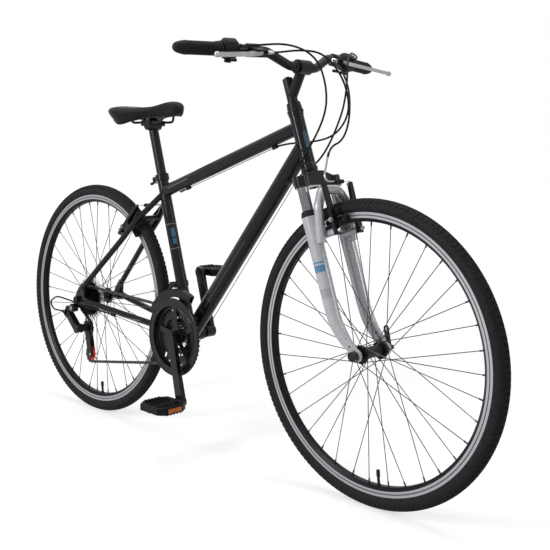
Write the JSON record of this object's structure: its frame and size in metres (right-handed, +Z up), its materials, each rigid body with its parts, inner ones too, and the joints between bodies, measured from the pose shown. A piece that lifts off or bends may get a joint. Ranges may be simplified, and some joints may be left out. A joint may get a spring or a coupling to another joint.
{
  "type": "hybrid bicycle",
  "caption": "Hybrid bicycle with sloping frame, sprung fork, riser bar, rim brakes, derailleur gears and a padded saddle; wheels, steering, cranks, brakes and gears move.",
  "frame": {"origin": "on the ground, half way between the axles and on the middle plane", "axes": "+X forwards, +Y to the rider's left, +Z up"},
  "size_m": [1.7667, 0.695, 1.057],
  "materials": {
    "frame_paint": "gloss black paint",
    "black_alloy": "black anodised alloy",
    "silver_alloy": "silver painted casting",
    "chrome": "bright chrome",
    "steel": "zinc plated steel",
    "dark_steel": "dark plated steel",
    "tyre": "black rubber",
    "rubber": "soft black rubber",
    "black_plastic": "moulded black resin",
    "saddle_cover": "black synthetic cover",
    "cable": "black cable housing"
  },
  "bodies": {
    "frame": {"head_tube": "frame_paint", "top_tube": "frame_paint", "down_tube": "frame_paint", "seat_tube": "frame_paint", "bottom_bracket_shell": "frame_paint", "chainstays": "frame_paint", "seatstays": "frame_paint", "dropouts": "frame_paint", "frame_braze_ons": "frame_paint", "bearing_cups": "black_alloy", "seat_collar": "black_alloy", "rear_axle": "dark_steel", "front_derailleur_clamp": "black_alloy", "rear_derailleur_mount": "black_alloy", "frame_cables": "cable", "chain": "dark_steel"},
    "collar_lever": {"seat_collar_lever": "black_alloy"},
    "seat": {"seatpost": "black_alloy", "saddle": "saddle_cover", "saddle_rails": "dark_steel"},
    "steering": {"fork_crown": "frame_paint", "fork_stanchions": "chrome", "headset_nuts": "black_alloy", "stem": "black_alloy", "handlebar": "black_alloy", "grips": "rubber", "control_brackets": "black_plastic", "control_cables": "cable"},
    "fork_legs": {"fork_lowers": "silver_alloy", "front_axle": "dark_steel"},
    "skewer_lever": {"front_skewer_lever": "black_alloy"},
    "front_wheel": {"front_tyre": "tyre", "front_rim": "black_alloy", "front_spokes": "dark_steel", "front_hub": "black_alloy"},
    "rear_wheel": {"rear_tyre": "tyre", "rear_rim": "black_alloy", "rear_spokes": "dark_steel", "rear_hub": "black_alloy"},
    "freewheel": {"freewheel": "dark_steel"},
    "crank": {"crank_right": "black_alloy", "crank_left": "black_alloy", "chainrings": "dark_steel", "chain_guard": "black_plastic"},
    "right_pedal": {"pedal_right": "black_plastic"},
    "left_pedal": {"pedal_left": "black_plastic"},
    "left_lever": {"brake_lever_left": "silver_alloy"},
    "right_lever": {"brake_lever_right": "silver_alloy"},
    "front_arm_left": {"front_brake_left": "black_alloy"},
    "front_arm_right": {"front_brake_right": "black_alloy"},
    "rear_arm_left": {"rear_brake_left": "black_alloy"},
    "rear_arm_right": {"rear_brake_right": "black_alloy"},
    "left_thumb": {"shift_lever_left": "black_plastic"},
    "right_thumb": {"shift_lever_right": "black_plastic"},
    "mech_link": {"rear_derailleur_link": "black_alloy"},
    "mech_knuckle": {"rear_derailleur_knuckle": "black_alloy"},
    "mech_cage": {"rear_derailleur_cage": "black_alloy"},
    "guide_pulley": {"guide_pulley": "black_plastic"},
    "tension_pulley": {"tension_pulley": "black_plastic"},
    "changer": {"front_derailleur_cage": "black_alloy"}
  },
  "joints": [
    {"name": "steering_turn", "type": "hinge", "parent": "frame", "child": "steering", "pos_m": [0.3444, 0, 0.76042], "axis": [-0.3223, 0, 0.9466], "range_deg": [-60, 60], "deforming": ["control_cables"]},
    {"name": "fork_travel", "type": "slide", "parent": "steering", "child": "fork_legs", "axis": [-0.3223, 0, 0.9466], "range_m": [0, 0.05], "stiffness_N_per_m": 9000, "springref_m": -0.025},
    {"name": "front_wheel_spin", "type": "hinge", "parent": "fork_legs", "child": "front_wheel", "pos_m": [0.5355, 0, 0.348], "axis": [0, 1, 0], "continuous": true},
    {"name": "rear_wheel_spin", "type": "hinge", "parent": "frame", "child": "rear_wheel", "pos_m": [-0.5355, 0, 0.348], "axis": [0, 1, 0], "continuous": true},
    {"name": "crank_spin", "type": "hinge", "parent": "frame", "child": "crank", "pos_m": [-0.08935, 0, 0.2975], "axis": [0, 1, 0], "continuous": true, "deforming": ["chain"]},
    {"name": "freewheel_spin", "type": "hinge", "parent": "frame", "child": "freewheel", "pos_m": [-0.5355, 0, 0.348], "axis": [0, 1, 0], "continuous": true},
    {"name": "right_pedal_spin", "type": "hinge", "parent": "crank", "child": "right_pedal", "pos_m": [-0.0202, 0, 0.1422], "axis": [0, 1, 0], "continuous": true},
    {"name": "left_pedal_spin", "type": "hinge", "parent": "crank", "child": "left_pedal", "pos_m": [-0.15849, 0, 0.4528], "axis": [0, 1, 0], "continuous": true},
    {"name": "left_brake_lever", "type": "hinge", "parent": "steering", "child": "left_lever", "pos_m": [0.33014, 0.1545, 1.02374], "axis": [0.2365, 0.0806, 0.9683], "range_deg": [0, 20], "stiffness_Nm_per_rad": 1.5, "springref_deg": -20.05},
    {"name": "right_brake_lever", "type": "hinge", "parent": "steering", "child": "right_lever", "pos_m": [0.33014, -0.1545, 1.02374], "axis": [-0.2365, 0.0806, -0.9683], "range_deg": [0, 20], "stiffness_Nm_per_rad": 1.5, "springref_deg": -20.05},
    {"name": "front_brake_left", "type": "hinge", "parent": "fork_legs", "child": "front_arm_left", "pos_m": [0.46341, 0.04, 0.61871], "axis": [0.9466, 0, 0.3223], "range_deg": [0, 3]},
    {"name": "rear_brake_left", "type": "hinge", "parent": "frame", "child": "rear_arm_left", "pos_m": [-0.35287, 0.041, 0.56123], "axis": [0.6878, 0, -0.7259], "range_deg": [0, 3]},
    {"name": "front_brake_right", "type": "hinge", "parent": "fork_legs", "child": "front_arm_right", "pos_m": [0.46341, -0.04, 0.61871], "axis": [-0.9466, 0, -0.3223], "range_deg": [0, 3]},
    {"name": "rear_brake_right", "type": "hinge", "parent": "frame", "child": "rear_arm_right", "pos_m": [-0.35287, -0.041, 0.56123], "axis": [-0.6878, 0, 0.7259], "range_deg": [0, 3]},
    {"name": "left_shift_lever", "type": "hinge", "parent": "steering", "child": "left_thumb", "pos_m": [0.27797, 0.20528, 1.00954], "axis": [0.2365, 0.0806, 0.9683], "range_deg": [0, 25], "stiffness_Nm_per_rad": 0.4, "springref_deg": -17.19},
    {"name": "right_shift_lever", "type": "hinge", "parent": "steering", "child": "right_thumb", "pos_m": [0.27797, -0.20528, 1.00954], "axis": [-0.2365, 0.0806, -0.9683], "range_deg": [0, 25], "stiffness_Nm_per_rad": 0.4, "springref_deg": -17.19},
    {"name": "rear_shift", "type": "slide", "parent": "frame", "child": "mech_knuckle", "axis": [0, 1, 0], "range_m": [-0.015, 0.015]},
    {"name": "rear_shift_link", "type": "hinge", "parent": "frame", "child": "mech_link", "pos_m": [-0.5735, -0.0815, 0.304], "axis": [0.6139, 0, 0.7894], "range_deg": [-15.4, 15.4]},
    {"name": "chain_tension", "type": "hinge", "parent": "mech_knuckle", "child": "mech_cage", "pos_m": [-0.5195, -0.047, 0.262], "axis": [0, 1, 0], "range_deg": [-12, 12], "stiffness_Nm_per_rad": 1.2},
    {"name": "guide_pulley_spin", "type": "hinge", "parent": "mech_cage", "child": "guide_pulley", "pos_m": [-0.5195, -0.047, 0.262], "axis": [0, 1, 0], "continuous": true},
    {"name": "tension_pulley_spin", "type": "hinge", "parent": "mech_cage", "child": "tension_pulley", "pos_m": [-0.50094, -0.047, 0.18213], "axis": [0, 1, 0], "continuous": true},
    {"name": "front_shift", "type": "hinge", "parent": "frame", "child": "changer", "pos_m": [-0.12981, -0.03, 0.43152], "axis": [1, 0, 0], "range_deg": [-6.5, 6.5]},
    {"name": "seat_height", "type": "slide", "parent": "frame", "child": "seat", "axis": [-0.289, 0, 0.9573], "range_m": [-0.1, 0.015]},
    {"name": "collar_lever_turn", "type": "hinge", "parent": "frame", "child": "collar_lever", "pos_m": [-0.24473, 0.0141, 0.717], "axis": [0.289, 0, -0.9573], "range_deg": [0, 150]},
    {"name": "skewer_lever_turn", "type": "hinge", "parent": "fork_legs", "child": "skewer_lever", "pos_m": [0.5355, 0.0686, 0.348], "axis": [-0.9466, 0, -0.3223], "range_deg": [0, 150]}
  ],
  "couplings": [
    {"joint": "freewheel_spin", "follows": "crank_spin", "ratio": 1.8},
    {"joint": "guide_pulley_spin", "follows": "crank_spin", "ratio": -3.2727},
    {"joint": "tension_pulley_spin", "follows": "crank_spin", "ratio": 3.2727},
    {"joint": "rear_shift_link", "follows": "rear_shift", "rad_per_m": 17.759},
    {"joint": "front_brake_left", "follows": "left_brake_lever", "ratio": 0.15},
    {"joint": "rear_brake_left", "follows": "right_brake_lever", "ratio": 0.15},
    {"joint": "front_brake_right", "follows": "left_brake_lever", "ratio": 0.15},
    {"joint": "rear_brake_right", "follows": "right_brake_lever", "ratio": 0.15}
  ]
}
